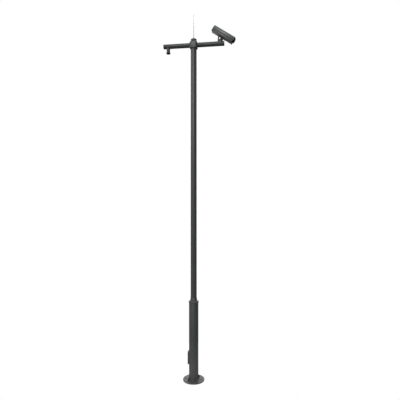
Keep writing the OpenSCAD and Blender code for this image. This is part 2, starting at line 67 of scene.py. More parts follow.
def high(node, axis):
    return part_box(node)[1][axis]


X, Y, Z = 0, 1, 2
PLATE_R = round(high("base_plate", X), 3)
PLATE_TOP = high("base_plate", Z)
COLUMN_R = high("lower_column", X)
COLUMN_TOP = high("lower_column", Z)
MAST_R = high("mast_tube", X)
MAST_LOW = low("mast_tube", Z)
MAST_TOP = high("mast_tube", Z)
ARM_R = (high("right_arm", Z) - low("right_arm", Z)) / 2
ARM_Z = (high("right_arm", Z) + low("right_arm", Z)) / 2
ARM_START = low("right_arm", X)
ARM_END = high("right_arm", X)
HEAD_HALF = high("head_casting", X)
NIPPLE_X = (low("drop_nipple", X) + high("drop_nipple", X)) / 2
PIVOT = Vector(JOINT["camera_tilt"]["pos_m"])
DOOR_Z = JOINT["door_hinge"]["pos_m"][2]

# ---------------------------------------------------------------- mesh helpers

ON_AXIS = 1e-7
WELD_DISTANCE = 2e-6
FLAT_ANGLE = 0.5


def link(obj):
    bpy.context.scene.collection.objects.link(obj)
    return obj


def object_from(bm, name):
    mesh = bpy.data.meshes.new(name)
    bm.normal_update()
    bm.to_mesh(mesh)
    bm.free()
    return link(bpy.data.objects.new(name, mesh))


def shade(obj, angle=35.0):
    """Smooth shading, with edges sharper than the angle kept crisp."""
    obj.data.shade_smooth()
    obj.data.set_sharp_from_angle(angle=math.radians(angle))


def freeze(obj):
    """Applies every modifier of a piece to its mesh."""
    bpy.context.view_layer.update()
    evaluated = obj.evaluated_get(bpy.context.evaluated_depsgraph_get())
    mesh = bpy.data.meshes.new_from_object(evaluated)
    obj.modifiers.clear()
    old = obj.data
    obj.data = mesh
    bpy.data.meshes.remove(old)
    return obj


def cut(obj, *cutters):
    """Takes the cutters out of a piece, and removes them."""
    for cutter in cutters:
        mod = obj.modifiers.new("cut", "BOOLEAN")
        mod.operation = "DIFFERENCE"
        mod.solver = "EXACT"
        mod.object = cutter
    freeze(obj)
    for cutter in cutters:
        bpy.data.objects.remove(cutter)
    return obj


def sharp_edges(bm, angle):
    limit = math.radians(angle)
    return [e for e in bm.edges if len(e.link_faces) == 2 and e.calc_face_angle(0.0) > limit]


def bevel_mesh(bm, width, segments=3, angle=32.0):
    """Rounds every edge sharper than the angle."""
    bmesh.ops.bevel(
        bm,
        geom=sharp_edges(bm, angle),
        offset=width,
        offset_type="OFFSET",
        segments=segments,
        profile=0.5,
        affect="EDGES",
        clamp_overlap=True,
        miter_outer="ARC",
    )


def arc(cx, cy, r, start, end, steps=8):
    """Points along an arc, angles in degrees."""
    angles = [math.radians(start + (end - start) * i / steps) for i in range(steps + 1)]
    return [(cx + r * math.cos(a), cy + r * math.sin(a)) for a in angles]


def softened(points, steps=5):
    """A closed outline whose points (x, y, radius) have their corners turned into arcs."""
    out = []
    count = len(points)
    for i, (x, y, r) in enumerate(points):
        p = Vector((x, y))
        a = Vector(points[i - 1][:2]) - p
        b = Vector(points[(i + 1) % count][:2]) - p
        if r <= 0 or a.length < 1e-9 or b.length < 1e-9:
            out.append((x, y))
            continue
        a.normalize()
        b.normalize()
        half = a.angle(b) / 2
        back = r / math.tan(half)
        centre = p + (a + b).normalized() * (r / math.sin(half))
        start = p + a * back - centre
        end = p + b * back - centre
        turn = start.angle_signed(end)
        for k in range(steps + 1):
            t = -turn * k / steps
            c, s = math.cos(t), math.sin(t)
            x_out = centre.x + start.x * c - start.y * s
            out.append((x_out, centre.y + start.x * s + start.y * c))
    return out


def lathe(profile, steps=96):
    """Turns a closed outline of (radius, height) points about Z. A point on the axis is one vertex."""
    bm = bmesh.new()
    turns = [2 * math.pi * i / steps for i in range(steps)]
    rings = []
    for r, z in profile:
        if r < ON_AXIS:
            rings.append([bm.verts.new((0, 0, z))])
        else:
            rings.append([bm.verts.new((r * math.cos(a), r * math.sin(a), z)) for a in turns])
    for k, ring in enumerate(rings):
        other = rings[(k + 1) % len(rings)]
        if len(ring) == 1 and len(other) == 1:
            continue
        for i in range(steps):
            j = (i + 1) % steps
            near_pair = [ring[i % len(ring)], ring[j % len(ring)]]
            far_pair = [other[j % len(other)], other[i % len(other)]]
            unique = list(dict.fromkeys(near_pair + far_pair))
            if len(unique) > 2:
                bm.faces.new(unique)
    bmesh.ops.recalc_face_normals(bm, faces=bm.faces)
    return bm


def prism(outline, bottom, top):
    """Extrudes a closed outline of (x, y) points along Z."""
    bm = bmesh.new()
    lower = [bm.verts.new((x, y, bottom)) for x, y in outline]
    upper = [bm.verts.new((x, y, top)) for x, y in outline]
    bm.faces.new(lower[::-1])
    bm.faces.new(upper)
    for i in range(len(outline)):
        j = (i + 1) % len(outline)
        bm.faces.new([lower[i], lower[j], upper[j], upper[i]])
    bmesh.ops.recalc_face_normals(bm, faces=bm.faces)
    return bm


def tube_along(points, radius, sides=12, closed=False):
    """Sweeps a circle along points; radius is a number or a function of the point's index."""
    bm = bmesh.new()
    count = len(points)
    rings = []
    normal = None
    for i, p in enumerate(points):
        before = points[i - 1] if (i or closed) else p
        after = points[(i + 1) % count] if (i + 1 < count or closed) else p
        along = (after - before).normalized()
        if normal is None:
            seed = Vector((0, 0, 1)) if abs(along.z) < 0.9 else Vector((1, 0, 0))
            normal = along.cross(seed).normalized()
        normal = (normal - along * normal.dot(along)).normalized()
        side = along.cross(normal)
        r = radius(i) if callable(radius) else radius
        rings.append([
            bm.verts.new(p + (normal * math.cos(a) + side * math.sin(a)) * r)
            for a in [2 * math.pi * k / sides for k in range(sides)]
        ])
    spans = range(count) if closed else range(count - 1)
    for i in spans:
        ring, other = rings[i], rings[(i + 1) % count]
        shift = 0
        if closed and i == count - 1:
            shift = min(range(sides), key=lambda s: (ring[0].co - other[s].co).length)
        for k in range(sides):
            k2 = (k + 1) % sides
            m, m2 = (k + shift) % sides, (k2 + shift) % sides
            bm.faces.new([ring[k], ring[k2], other[m2], other[m]])
    if not closed:
        bm.faces.new(rings[0][::-1])
        bm.faces.new(rings[-1])
    bmesh.ops.recalc_face_normals(bm, faces=bm.faces)
    return bm


def grown_copy(node):
    """A cleaned copy of a CAD node's mesh, with its flat faces joined again."""
    bm = bmesh.new()
    bm.from_mesh(frame["nodes"][node].data)
    bmesh.ops.remove_doubles(bm, verts=bm.verts, dist=WELD_DISTANCE)
    flat = math.radians(FLAT_ANGLE)
    bmesh.ops.dissolve_limit(bm, angle_limit=flat, verts=bm.verts, edges=bm.edges)
    return bm


# ---------------------------------------------------------------- materials

# Paler paint up to this height, strongest at the ground: partly dust, partly a painted sheen that lightens the
# base plate
DUST_AND_SHEEN_HEIGHT = 0.45
DUST_AND_SHEEN_AMOUNT = 0.30
DUST_AND_SHEEN_COLOR = (0.20, 0.19, 0.17)


def node_graph(name):
    mat = bpy.data.materials.new(name)
    mat.use_nodes = True
    nodes = mat.node_tree.nodes
    links = mat.node_tree.links
    shader = nodes["Principled BSDF"]
    place = nodes.new("ShaderNodeTexCoord")
    return mat, nodes, links, shader, place.outputs["Object"]


def noise(nodes, links, place, scale, detail=4.0, rough=0.55, stretch=None):
    source = place
    if stretch:
        mapping = nodes.new("ShaderNodeMapping")
        mapping.inputs["Scale"].default_value = stretch
        links.new(place, mapping.inputs["Vector"])
        source = mapping.outputs["Vector"]
    tex = nodes.new("ShaderNodeTexNoise")
    tex.inputs["Scale"].default_value = scale
    tex.inputs["Detail"].default_value = detail
    tex.inputs["Roughness"].default_value = rough
    links.new(source, tex.inputs["Vector"])
    return tex.outputs["Fac"]


def ramp(nodes, links, fac, stops):
    """Maps a value through (position, value) stops, value a number or a colour."""
    node = nodes.new("ShaderNodeValToRGB")
    elements = node.color_ramp.elements
    while len(elements) < len(stops):
        elements.new(0.5)
    for element, (position, value) in zip(elements, stops):
        element.position = position
        rgb = value if isinstance(value, (tuple, list)) else (value, value, value)
        element.color = (*rgb[:3], 1.0)
    links.new(fac, node.inputs["Fac"])
    return node.outputs["Color"]


def mix(nodes, links, fac, a, b, blend="MIX"):
    node = nodes.new("ShaderNodeMix")
    node.data_type = "RGBA"
    node.blend_type = blend
    for value, socket in ((fac, node.inputs["Factor"]), (a, node.inputs[6]), (b, node.inputs[7])):
        if isinstance(value, bpy.types.NodeSocket):
            links.new(value, socket)
        elif isinstance(value, (tuple, list)):
            socket.default_value = (*value[:3], 1.0)
        else:
            socket.default_value = value
    return node.outputs[2]


def add_bump(nodes, links, shader, height, distance, strength=1.0, below=None):
    bump = nodes.new("ShaderNodeBump")
    bump.inputs["Distance"].default_value = distance
    bump.inputs["Strength"].default_value = strength
    links.new(height, bump.inputs["Height"])
    if below is not None:
        links.new(below, bump.inputs["Normal"])
    links.new(bump.outputs["Normal"], shader.inputs["Normal"])
    return bump.outputs["Normal"]


def scaled(color, k):
    return tuple(min(1.0, c * k) for c in color[:3])


def powder_coat(name, color, grain=620.0, rough=0.42):
    """Satin polyester powder coat: orange peel, faint clouding, and on the lower parts dust mixed with a painted
    sheen.
    """
    mat, nodes, links, shader, place = node_graph(name)
    cloud = noise(nodes, links, place, 5.0, 5.0, 0.6, (1.0, 1.0, 0.35))
    tone = ramp(nodes, links, cloud, [(0.3, scaled(color, 0.86)), (0.7, scaled(color, 1.16))])
    fleck = ramp(nodes, links, noise(nodes, links, place, 1500.0, 2.0), [(0.62, 0.0), (0.74, 0.35)])
    flecked = mix(nodes, links, fleck, tone, scaled(color, 2.1))
    # Lighter towards the ground: speckled dust together with a painted sheen that brightens the base plate
    split = nodes.new("ShaderNodeSeparateXYZ")
    links.new(place, split.inputs["Vector"])
    near_ground = nodes.new("ShaderNodeMapRange")
    near_ground.inputs["From Min"].default_value = 0.0
    near_ground.inputs["From Max"].default_value = DUST_AND_SHEEN_HEIGHT
    near_ground.inputs["To Min"].default_value = DUST_AND_SHEEN_AMOUNT
    near_ground.inputs["To Max"].default_value = 0.0
    links.new(split.outputs["Z"], near_ground.inputs["Value"])
    speckle = ramp(nodes, links, noise(nodes, links, place, 45.0, 8.0, 0.7), [(0.40, 0.0), (0.68, 1.0)])
    dust = nodes.new("ShaderNodeMath")
    dust.operation = "MULTIPLY"
    links.new(near_ground.outputs["Result"], dust.inputs[0])
    links.new(speckle, dust.inputs[1])
    dust_and_sheen_tone = mix(nodes, links, dust.outputs["Value"], flecked, DUST_AND_SHEEN_COLOR)
    links.new(dust_and_sheen_tone, shader.inputs["Base Color"])
    patch = noise(nodes, links, place, 24.0, 6.0, 0.65)
    satin = ramp(nodes, links, patch, [(0.3, rough - 0.05), (0.7, rough + 0.07)])
    links.new(satin, shader.inputs["Roughness"])
    shader.inputs["Specular IOR Level"].default_value = 0.5
    peel = noise(nodes, links, place, grain, 3.0, 0.5)
    add_bump(nodes, links, shader, peel, 0.00035, 0.5)
    return mat


def bare_metal(name, color, rough, scratch=(1.0, 1.0, 1.0), spangle=0.0):
    """Brushed or galvanised metal: fine scratches, clouding and optional zinc spangle."""
    mat, nodes, links, shader, place = node_graph(name)
    cloud = noise(nodes, links, place, 60.0, 5.0, 0.6)
    tone = ramp(nodes, links, cloud, [(0.3, scaled(color, 0.82)), (0.7, scaled(color, 1.08))])
    if spangle:
        cells = nodes.new("ShaderNodeTexVoronoi")
        cells.inputs["Scale"].default_value = 110.0
        links.new(place, cells.inputs["Vector"])
        tone = mix(nodes, links, spangle, tone, cells.outputs["Color"], "SOFT_LIGHT")
        gray = nodes.new("ShaderNodeHueSaturation")
        gray.inputs["Saturation"].default_value = 0.1
        links.new(tone, gray.inputs["Color"])
        tone = gray.outputs["Color"]
    links.new(tone, shader.inputs["Base Color"])
    shader.inputs["Metallic"].default_value = 1.0
    lines = noise(nodes, links, place, 900.0, 3.0, 0.6, scratch)
    brushed = ramp(nodes, links, lines, [(0.3, rough - 0.06), (0.7, rough + 0.10)])
    links.new(brushed, shader.inputs["Roughness"])
    add_bump(nodes, links, shader, lines, 0.00008, 0.4)
    return mat


def plastic(name, color, rough, grain=1400.0, depth=0.00012):
    """Moulded plastic: fine spark-eroded grain with faint tone changes."""
    mat, nodes, links, shader, place = node_graph(name)
    cloud = noise(nodes, links, place, 30.0, 4.0)
    tone = ramp(nodes, links, cloud, [(0.3, scaled(color, 0.85)), (0.7, scaled(color, 1.2))])
    links.new(tone, shader.inputs["Base Color"])
    patch = noise(nodes, links, place, 90.0, 5.0)
    worn = ramp(nodes, links, patch, [(0.3, rough - 0.05), (0.7, rough + 0.08)])
    links.new(worn, shader.inputs["Roughness"])
    add_bump(nodes, links, shader, noise(nodes, links, place, grain, 2.0), depth, 0.6)
    return mat


def tinted_glass(name, color):
    """Dark window glass with a faint haze of dust."""
    mat, nodes, links, shader, place = node_graph(name)
    haze = noise(nodes, links, place, 55.0, 6.0, 0.65)
    tone = ramp(nodes, links, haze, [(0.4, scaled(color, 1.0)), (0.8, scaled(color, 2.0))])
    links.new(tone, shader.inputs["Base Color"])
    links.new(ramp(nodes, links, haze, [(0.4, 0.03), (0.8, 0.12)]), shader.inputs["Roughness"])
    shader.inputs["Transmission Weight"].default_value = 0.55
    shader.inputs["IOR"].default_value = 1.5
    add_bump(nodes, links, shader, noise(nodes, links, place, 9.0, 2.0), 0.0004, 0.15)
    return mat


def lens_glass(name):
    """Coated lens glass, nearly black with a faint violet and green bloom."""
    mat, nodes, links, shader, place = node_graph(name)
    wash = noise(nodes, links, place, 38.0, 2.0)
    bloom = ramp(nodes, links, wash, [(0.35, (0.012, 0.006, 0.03)), (0.65, (0.004, 0.02, 0.018))])
    links.new(bloom, shader.inputs["Base Color"])
    links.new(ramp(nodes, links, wash, [(0.3, 0.02), (0.7, 0.06)]), shader.inputs["Roughness"])
    shader.inputs["Coat Weight"].default_value = 1.0
    add_bump(nodes, links, shader, noise(nodes, links, place, 20.0, 1.0), 0.0001, 0.1)
    return mat


MATERIALS = {
    "powder_coat": powder_coat("powder_coat", scaled(SLOT_COLOR["powder_coat"], 0.8)),
    "camera_paint": powder_coat("camera_paint", scaled(SLOT_COLOR["camera_paint"], 1.25), 900.0, 0.36),
    "galvanised": bare_metal("galvanised", SLOT_COLOR["galvanised"], 0.45, spangle=0.35),
    "stainless": bare_metal("stainless", SLOT_COLOR["stainless"], 0.26, (1.0, 1.0, 0.08)),
    "bright_rod": bare_metal("bright_rod", SLOT_COLOR["bright_rod"], 0.42, (1.0, 1.0, 0.03)),
    "black_plastic": plastic("black_plastic", SLOT_COLOR["black_plastic"], 0.48),
    "grey_plastic": plastic("grey_plastic", SLOT_COLOR["grey_plastic"], 0.5),
    "white_ceramic": plastic("white_ceramic", SLOT_COLOR["white_ceramic"], 0.35),
    "red_plastic": plastic("red_plastic", SLOT_COLOR["red_plastic"], 0.35),
    "rubber_seal": plastic("rubber_seal", SLOT_COLOR["rubber_seal"], 0.75, 700.0, 0.0002),
    "brass_earth": bare_metal("brass_earth", SLOT_COLOR["brass_earth"], 0.3),
    "window": tinted_glass("window", SLOT_COLOR["window"]),
    "lens_black": plastic("lens_black", SLOT_COLOR["lens_black"], 0.3),
    "camera_case": powder_coat("camera_case", SLOT_COLOR["camera_case"], 900.0, 0.45),
    "sled_aluminium": bare_metal("sled_aluminium", SLOT_COLOR["sled_aluminium"], 0.35),
}
LENS_GLASS = lens_glass("lens_glass")

for node_name, obj in frame["nodes"].items():
    obj.data.materials.clear()
    obj.data.materials.append(MATERIALS[NODE_SLOT[node_name]])

# ---------------------------------------------------------------- putting pieces on the frame


def piece(obj, near, replaces=True, slot=None, material=None, angle=35.0):
    """Gives a piece the body of the CAD node near it, and its slot unless another is named.

    With replaces, the piece stands for that node and hides it.
    """
    slot = slot or NODE_SLOT[near]
    shade(obj, angle)
    obj.data.materials.clear()
    obj.data.materials.append(material or MATERIALS[slot])
    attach(obj, NODE_BODY[near])
    if replaces:
        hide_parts(near)
    return obj


def softened_copy(node, width, segments=3, angle=32.0):
    """A CAD node's own shape with every hard edge rounded."""
    bm = grown_copy(node)
    bevel_mesh(bm, width, segments, angle)
    return piece(object_from(bm, node + "_soft"), node)


def placed(bm, matrix):
    """Moves a mesh that is still being made. The matrix must not mirror, or cuts turn inside out."""
    bmesh.ops.transform(bm, matrix=matrix, verts=bm.verts)
    return bm


def cylinder_cutter(radius, bottom, top, matrix=Matrix.Identity(4), steps=96):
    """A round cutter along Z, then placed by the matrix."""
    bm = lathe([(0, bottom), (radius, bottom), (radius, top), (0, top)], steps)
    return object_from(placed(bm, matrix), "cutter")


# ---------------------------------------------------------------- pole

# Radii of the weld runs
FOOT_WELD = 0.0055
GUSSET_WELD = 0.0035
SEAM_WELD = 0.0026
SURROUND_WELD = 0.003
ARM_WELD = 0.0032
NIPPLE_WELD = 0.0028

# Walls of the round tubes
MAST_WALL = 0.004
ARM_WALL = 0.0032

# Outer radius of the bracket's sleeve, which passes through the arm's wall
SLEEVE_R = 0.022


def ring_hole_cutter(x, y, radius, top):
    """Cutter for a plate hole with a small chamfer at the upper rim."""
    bevel, below = 0.0012, -0.01
    outline = [(0, below), (radius, below), (radius, top - bevel)]
    outline += [(radius + 2 * bevel, top + bevel), (0, top + bevel)]
    return object_from(placed(lathe(outline, 64), Matrix.Translation((x, y, 0))), "cutter")


def weld_bead(points, size, name, near, closed=True, seed=3):
    """A rippled weld run along points, with the slight unevenness of hand welding."""
    waver = [0.86 + 0.14 * math.sin(i * 1.9 + seed) * math.sin(i * 0.37 + seed) for i in range(len(points))]
    bm = tube_along(points, lambda i: size * waver[i] * (0.9 + 0.1 * math.cos(i * math.pi)), 10, closed)
    return piece(object_from(bm, name), near, replaces=False, angle=80)


def circle_points(centre, radius, count, axis="Z"):
    """Points round a circle about Z, or about X."""
    spots = []
    for i in range(count):
        a = 2 * math.pi * i / count
        c, s = radius * math.cos(a), radius * math.sin(a)
        spots.append(Vector(centre) + (Vector((c, s, 0)) if axis == "Z" else Vector((0, c, s))))
    return spots


def tube_profile(outer, inner, bottom, top, soft=0.0008):
    """Section of a tube wall with softened rims."""
    corners = [(inner, bottom), (outer, bottom), (outer, top), (inner, top)]
    return softened([(r, z, soft) for r, z in corners], 3)


def rounded_rectangle(half_w, half_h, corner, steps=5):
    """A closed outline of (y, z) points about the origin."""
    corners = [(-half_w, -half_h), (half_w, -half_h), (half_w, half_h), (-half_w, half_h)]
    return softened([(y, z, corner) for y, z in corners], steps)


def build_base():
    # Cable entry in the middle, and four anchor holes on their circle
    entry_r = 0.060
    pitch_r = 0.145
    hole_r = 0.013
    outline = softened([
        (entry_r, 0, 0.0006), (PLATE_R, 0, 0.0012), (PLATE_R, PLATE_TOP, 0.0022),
        (entry_r, PLATE_TOP, 0.0015),
    ])
    plate = object_from(lathe(outline, 160), "base_plate_piece")
    spots = [(pitch_r, 0), (0, pitch_r), (-pitch_r, 0), (0, -pitch_r)]
    cut(plate, *[ring_hole_cutter(x, y, hole_r, PLATE_TOP) for x, y in spots])
    piece(plate, "base_plate")
    softened_copy("base_gussets", 0.0014)
    foot_ring = circle_points((0, 0, PLATE_TOP), COLUMN_R + 0.001, 220)
    weld_bead(foot_ring, FOOT_WELD, "weld_column_foot", "lower_column")

    # Two weld runs on each side of every gusset, along the plate and up the column
    gusset_top = high("base_gussets", Z)
    gusset_reach = 0.134
    gusset_half = 0.005
    spans = 26
    run_out = (gusset_reach - COLUMN_R - 0.006) / spans
    run_up = (gusset_top - PLATE_TOP - 0.008) / spans
    for quarter in range(4):
        turn = Matrix.Rotation(math.radians(45 + 90 * quarter), 4, "Z")
        for side in (-1, 1):
            off = side * (gusset_half + 0.0006)
            along = [
                turn @ Vector((COLUMN_R + 0.004 + run_out * i, off, PLATE_TOP)) for i in range(spans + 1)
            ]
            upward = [
                turn @ Vector((COLUMN_R, off, PLATE_TOP + 0.004 + run_up * i)) for i in range(spans + 1)
            ]
            tag = f"{quarter}_{'l' if side < 0 else 'r'}"
            flat_name, upright_name = "weld_gusset_plate_" + tag, "weld_gusset_column_" + tag
            weld_bead(along, GUSSET_WELD, flat_name, "base_gussets", False, quarter + side)
            weld_bead(upward, GUSSET_WELD, upright_name, "base_gussets", False, quarter + 2 * side)


def build_column():
    inner = low("centring_ring", X) * -1
    profile = tube_profile(COLUMN_R, inner, PLATE_TOP, COLUMN_TOP)
    column = object_from(lathe(profile, 192), "lower_column_piece")
    # The opening behind the service door, cut through the wall at -X
    half_w, half_h, corner = 0.044, 0.105, 0.008
    outer_side, inner_side = -0.15, -0.05
    outline = rounded_rectangle(half_w, half_h, corner)
    opening = prism([(y, z + DOOR_Z) for y, z in outline], outer_side, inner_side)
    to_side = Matrix(((0, 0, 1, 0), (1, 0, 0, 0), (0, 1, 0, 0), (0, 0, 0, 1)))
    cut(column, object_from(placed(opening, to_side), "cutter"))
    piece(column, "lower_column")

    # Reducer collar: a plug in the column, a rounded bead and a flare that ends on the mast
    bore, plug = MAST_R, inner
    foot, neck, bead_out = low("reducer_collar", Z), high("reducer_collar", Z), high("reducer_collar", X)
    bead_z, bead_r = COLUMN_TOP + 0.018, 0.012
    flare_x, flare_z, flare_r = bore + 0.032, COLUMN_TOP + 0.062, 0.026
    outline = [(bore, foot), (plug, foot), (plug, COLUMN_TOP)]
    outline += [(COLUMN_R - 0.0005, COLUMN_TOP), (COLUMN_R, COLUMN_TOP + 0.0006)]
    outline += arc(bead_out - bead_r, bead_z, bead_r, -60, 60, 20)
    outline += arc(flare_x, flare_z, flare_r, -100, -180, 18)
    outline += [(bore + 0.002, neck - 0.002), (bore + 0.0012, neck - 0.0004), (bore, neck)]
    piece(object_from(lathe(outline, 192), "reducer_collar_piece"), "reducer_collar")
    seam = circle_points((0, 0, COLUMN_TOP + 0.001), COLUMN_R - 0.0012, 240)
    weld_bead(seam, SEAM_WELD, "weld_reducer", "reducer_collar")
    weld_bead(circle_points((0, 0, neck), MAST_R, 180), SEAM_WELD, "weld_mast", "reducer_collar")

    mast = lathe(tube_profile(MAST_R, MAST_R - MAST_WALL, MAST_LOW, MAST_TOP), 160)
    piece(object_from(mast, "mast_tube_piece"), "mast_tube")


def build_door():
    softened_copy("door_frame", 0.0016)
    softened_copy("door_gasket", 0.0005, 2)
    softened_copy("door_panel", 0.0010)
    softened_copy("hinge_frame_leaves", 0.0004, 2)
    softened_copy("hinge_door_leaves", 0.0004, 2)
    softened_copy("hinge_pins", 0.0004, 2)
    softened_copy("lock_housing", 0.0005, 3)
    softened_copy("lock_nut", 0.0004, 2)
    softened_copy("lock_spindle", 0.0003, 2)
    softened_copy("lock_cam", 0.0005, 2)

    # Weld run where the door surround meets the round column
    half_h = (high("door_frame", Z) - low("door_frame", Z)) / 2
    outline = rounded_rectangle(high("door_frame", Y), half_h, 0.014, 6)
    spacing = 0.003
    path = []
    for i, here in enumerate(outline):
        there = outline[(i + 1) % len(outline)]
        count = max(1, round(math.dist(here, there) / spacing))
        for k in range(count):
            y = here[0] + (there[0] - here[0]) * k / count
            z = here[1] + (there[1] - here[1]) * k / count
            path.append(Vector((-math.sqrt(COLUMN_R ** 2 - y * y), y, z + DOOR_Z)))
    weld_bead(path, SURROUND_WELD, "weld_door_frame", "door_frame")


def build_equipment():
    for node, width in (
        ("equipment_board", 0.0006),
        ("board_spacers", 0.0006),
        ("board_screws", 0.0005),
        ("terminal_box", 0.0009),
        ("terminal_blocks", 0.0008),
        ("terminal_cover", 0.0012),
        ("fuse_carrier", 0.0014),
        ("terminal_glands", 0.0006),
        ("earth_stud", 0.0006),
        ("earth_nuts", 0.0005),
        ("centring_ring", 0.0008),
    ):
        softened_copy(node, width, 2)


# ---------------------------------------------------------------- head and crossbar


def along_x(sign=1):
    """Turns +Z to +X or -X at the height of the crossbar."""
    return Matrix.Translation((0, 0, ARM_Z)) @ Matrix.Rotation(sign * math.pi / 2, 4, "Y")


def build_head():
    softened_copy("head_casting", 0.0022, 3, 24.0)
    softened_copy("head_set_screws", 0.0006, 2)
    softened_copy("cap_screws", 0.0005, 2)
    softened_copy("rod_nut", 0.0008, 3)

    # Cap: a plug in the casting, a flange with a domed edge, and a bore for the rod
    plug_low, cap_low, cap_high = low("mast_cap", Z), ARM_Z + 0.088, high("mast_cap", Z)
    cap_r, plug_r, bore = high("mast_cap", X), 0.0337, 0.005
    outline = softened([
        (bore, plug_low, 0), (plug_r, plug_low, 0.001), (plug_r, cap_low, 0),
        (cap_r, cap_low, 0.0012), (cap_r, cap_high - 0.004, 0.003), (cap_r - 0.006, cap_high, 0.005),
        (bore, cap_high, 0),
    ], 6)
    piece(object_from(lathe(outline, 128), "mast_cap_piece"), "mast_cap")

    # Rod with a small chamfer at its foot and a long ground point
    rod_low, rod_high, rod_r = low("lightning_rod", Z), high("lightning_rod", Z), high("lightning_rod", X)
    foot_chamfer = 0.0006
    outline = [(0, rod_low), (rod_r - foot_chamfer, rod_low), (rod_r, rod_low + foot_chamfer)]
    outline += [(rod_r, rod_high - 0.027), (rod_r - 0.0003, rod_high - 0.0235)]
    outline += [(0.0013, rod_high - 0.0012), (0.0008, rod_high - 0.0003), (0, rod_high)]
    piece(object_from(lathe(outline, 48), "lightning_rod_piece"), "lightning_rod", angle=50)


def build_arms():
    arm_in = ARM_R - ARM_WALL
    cap_end = high("right_end_cap", X)
    flange_r = high("right_end_cap", Y)
    skirt_end, skirt_in, inner_face = ARM_END - 0.022, arm_in - 0.003, ARM_END - 0.0001
    nipple_way_r, cut_reach = 0.028, 0.06
    for node, cap, sign in (("right_arm", "right_end_cap", 1), ("left_arm", "left_end_cap", -1)):
        tube = lathe(tube_profile(ARM_R, arm_in, ARM_START, ARM_END), 144)
        arm = object_from(placed(tube, along_x(sign)), node + "_piece")
        if sign > 0:
            way = Matrix.Translation((PIVOT.x, 0, 0))
            cut(arm, cylinder_cutter(SLEEVE_R, ARM_Z, ARM_Z + cut_reach, way))
        else:
            way = Matrix.Translation((NIPPLE_X, 0, 0))
            cut(arm, cylinder_cutter(nipple_way_r, ARM_Z - cut_reach, ARM_Z, way))
        piece(arm, node)
        outline = softened([
            (0, inner_face, 0), (skirt_in, inner_face, 0), (skirt_in, skirt_end, 0.0008),
            (arm_in, skirt_end, 0.0008), (arm_in, ARM_END, 0), (flange_r, ARM_END, 0.0012),
            (flange_r, cap_end, 0.0042), (0, cap_end, 0),
        ], 6)
        piece(object_from(placed(lathe(outline, 128), along_x(sign)), cap + "_piece"), cap)
        seam = circle_points((sign * HEAD_HALF, 0, ARM_Z), ARM_R + 0.0005, 120, "X")
        weld_bead(seam, ARM_WELD, "weld_" + node, "head_casting")


def build_nipple():
    nipple_r, nipple_in = high("drop_nipple", Y), 0.027
    tube = lathe(tube_profile(nipple_r, nipple_in, low("drop_nipple", Z), ARM_Z - 0.01), 128)
    nipple = object_from(placed(tube, Matrix.Translation((NIPPLE_X, 0, 0))), "drop_nipple_piece")
    cut(nipple, cylinder_cutter(ARM_R, ARM_START, ARM_END, along_x(-1), 144))
    piece(nipple, "drop_nipple")

    # Weld run on the saddle line where the nipple meets the arm
    saddle = []
    saddle_steps = 110
    for i in range(saddle_steps):
        a = 2 * math.pi * i / saddle_steps
        x, y = nipple_r * math.cos(a), nipple_r * math.sin(a)
        saddle.append(Vector((NIPPLE_X + x, y, ARM_Z - math.sqrt(ARM_R ** 2 - y * y))))
    weld_bead(saddle, NIPPLE_WELD, "weld_nipple", "drop_nipple")

    # Coupling with a real thread in its bore
    base, top_z = low("drop_coupling", Z), high("drop_coupling", Z)
    out_r, bore, crest = high("drop_coupling", Y), 0.0224, 0.0012
    pitch, socket, lead_in = 0.0022, 0.014, 0.001
    outer = softened([
        (out_r - 0.004, base, 0.001), (out_r, base + 0.005, 0.003), (out_r, base + 0.016, 0.003),
        (nipple_r + 0.003, top_z, 0.002), (nipple_r, top_z, 0),
    ], 5)
    walls = outer + [(nipple_r, base + socket), (bore + crest, base + socket)]
    steps, levels = 128, int(socket / pitch * 4)
    bm = bmesh.new()
    columns = []
    for i in range(steps):
        a = 2 * math.pi * i / steps
        ring = list(walls)
        for k in range(levels, -1, -1):
            z = socket * k / levels
            phase = (z / pitch - i / steps) % 1.0
            fade = min(1.0, z / lead_in)
            ring.append((bore + crest * abs(2 * phase - 1) * fade, base + z))
        c, s = math.cos(a), math.sin(a)
        columns.append([bm.verts.new((NIPPLE_X + r * c, r * s, z)) for r, z in ring])
    for i in range(steps):
        here, there = columns[i], columns[(i + 1) % steps]
        for k in range(len(here)):
            j = (k + 1) % len(here)
            bm.faces.new([here[k], here[j], there[j], there[k]])
    bmesh.ops.recalc_face_normals(bm, faces=bm.faces)
    piece(object_from(bm, "drop_coupling_piece"), "drop_coupling")


# ---------------------------------------------------------------- bracket and camera

# The camera housing lies tilted nose down at rest, about the tilt bolt
TILT = math.radians(33.5)
HOUSING = Matrix.Translation(PIVOT) @ Matrix.Rotation(TILT, 4, "Y")
BODY_FRONT, BODY_MID, BEZEL_T = 0.205, 0.077, 0.012


def facing_forward(along, y=0.0, z=BODY_MID):
    """Turns +Z to the housing's forward direction, at a place given in the housing's own axes."""
    return HOUSING @ Matrix.Translation((along, y, z)) @ Matrix.Rotation(math.pi / 2, 4, "Y")


